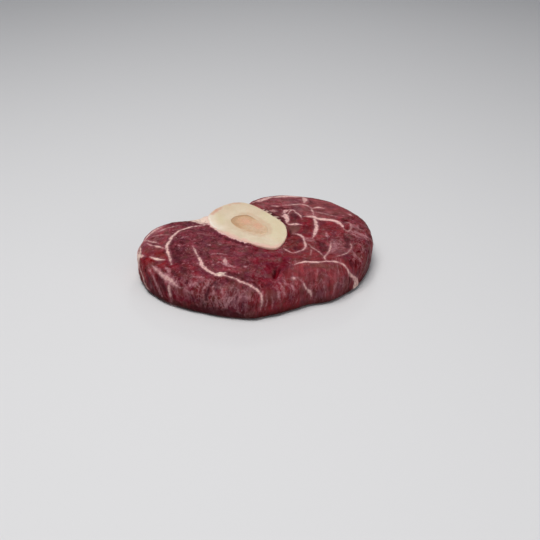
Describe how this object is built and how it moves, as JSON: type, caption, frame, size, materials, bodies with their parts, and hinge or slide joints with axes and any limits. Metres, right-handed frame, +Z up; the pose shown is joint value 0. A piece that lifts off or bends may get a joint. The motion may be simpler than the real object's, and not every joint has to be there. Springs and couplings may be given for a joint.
{
  "type": "raw beef shank slice",
  "caption": "Raw cross-cut slice of beef shank: a flat slab of several muscles, wrapped round a marrow bone that shows bare at its back edge.",
  "frame": {"origin": "on the surface that the slice lies on, under the middle of its bounding box", "axes": "+Z up, along the leg bone and square to both cut faces; +X along the slice's longer side, to the right in the picture; +Y to the back, where the bone is bare"},
  "size_m": [0.1334, 0.1127, 0.0203],
  "materials": {
    "muscle": "moist, raw red muscle with pale seams of fat",
    "bone": "sawn, matt cream bone",
    "marrow": "soft, tan marrow",
    "fat": "moist, pinkish white fat"
  },
  "bodies": {
    "root": {"meat": "muscle", "bone": "bone", "marrow": "marrow", "fat_wedge": "fat", "fat_left": "fat", "fat_right": "fat"}
  },
  "joints": []
}
